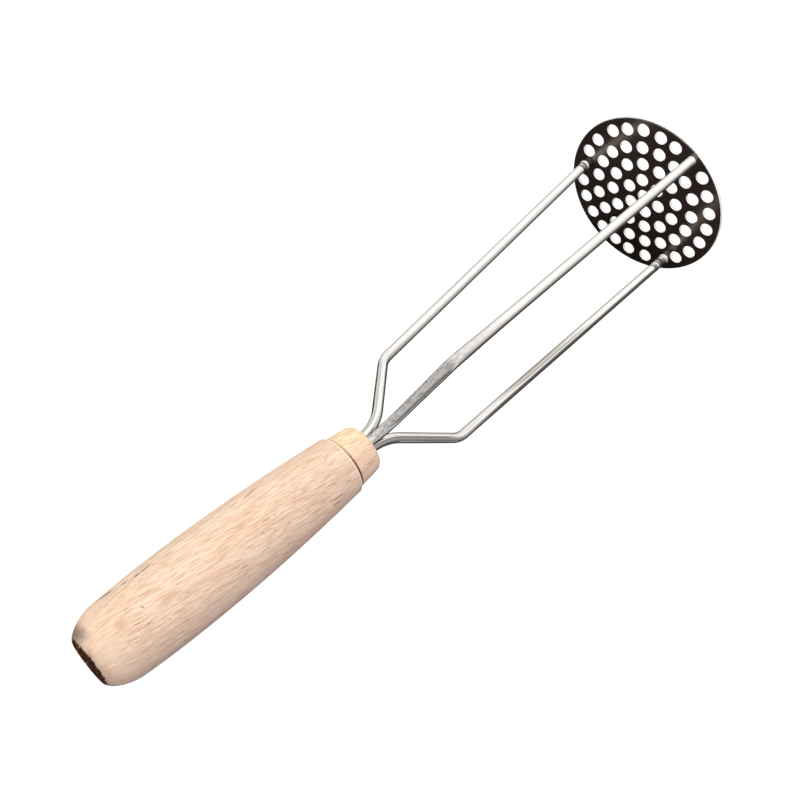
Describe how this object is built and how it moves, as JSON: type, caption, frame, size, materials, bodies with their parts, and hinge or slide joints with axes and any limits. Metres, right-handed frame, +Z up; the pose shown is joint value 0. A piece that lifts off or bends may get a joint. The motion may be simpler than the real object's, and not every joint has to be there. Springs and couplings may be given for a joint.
{
  "type": "potato masher",
  "caption": "Hand masher with a round perforated steel plate on bent steel rods that run together into a turned wooden grip.",
  "frame": {"origin": "centre of the plate's underside, the face that the masher stands on", "axes": "+Z up from the plate to the grip, -Y the front, which is the side of the front leg"},
  "size_m": [0.0715, 0.0714, 0.2875],
  "materials": {
    "turned_wood": "matt",
    "leg_steel": "satin",
    "plate_steel": "satin",
    "weld_steel": "matt",
    "resin": "gloss"
  },
  "bodies": {
    "root": {"handle": "turned_wood", "front_leg": "leg_steel", "right_leg": "leg_steel", "left_leg": "leg_steel", "mash_plate": "plate_steel", "tang_weld": "weld_steel", "bore_resin": "resin"}
  },
  "joints": []
}
